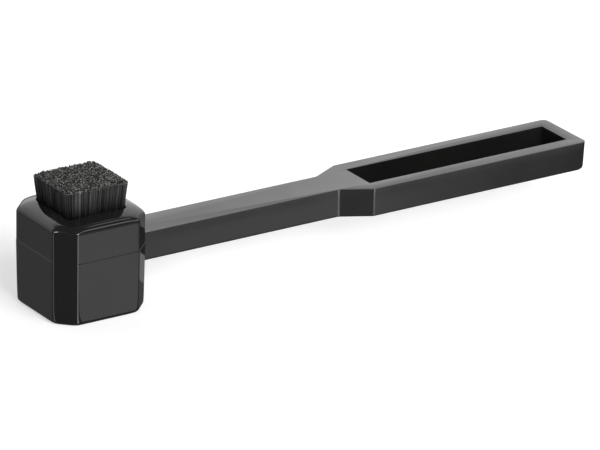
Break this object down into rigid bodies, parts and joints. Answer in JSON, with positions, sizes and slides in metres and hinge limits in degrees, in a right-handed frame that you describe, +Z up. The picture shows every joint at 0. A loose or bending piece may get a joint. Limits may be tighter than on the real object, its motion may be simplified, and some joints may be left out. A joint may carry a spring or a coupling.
{
  "type": "stylus cleaning brush",
  "caption": "Hand brush for cleaning a record player's stylus: dense trimmed bristle tuft in a crowned square head, on a slim arm that widens into a recessed finger grip.",
  "frame": {"origin": "centre of the head's flat bottom face", "axes": "+X from the head along the arm to the grip, +Y across the arm, +Z up, the way the bristles point"},
  "size_m": [0.1077, 0.018, 0.0225],
  "materials": {
    "head_shell": "polished black ABS",
    "handle_plastic": "satin black moulded ABS",
    "holder_plastic": "plain dark moulded ABS",
    "potting_resin": "cured resin",
    "bristle_fibre": "fine dark synthetic fibre, cut flat"
  },
  "bodies": {
    "root": {"head_base": "head_shell", "head_cover": "head_shell", "handle": "handle_plastic", "bristle_holder": "holder_plastic", "resin_bed": "potting_resin", "bristle_tuft": "bristle_fibre"}
  },
  "joints": []
}
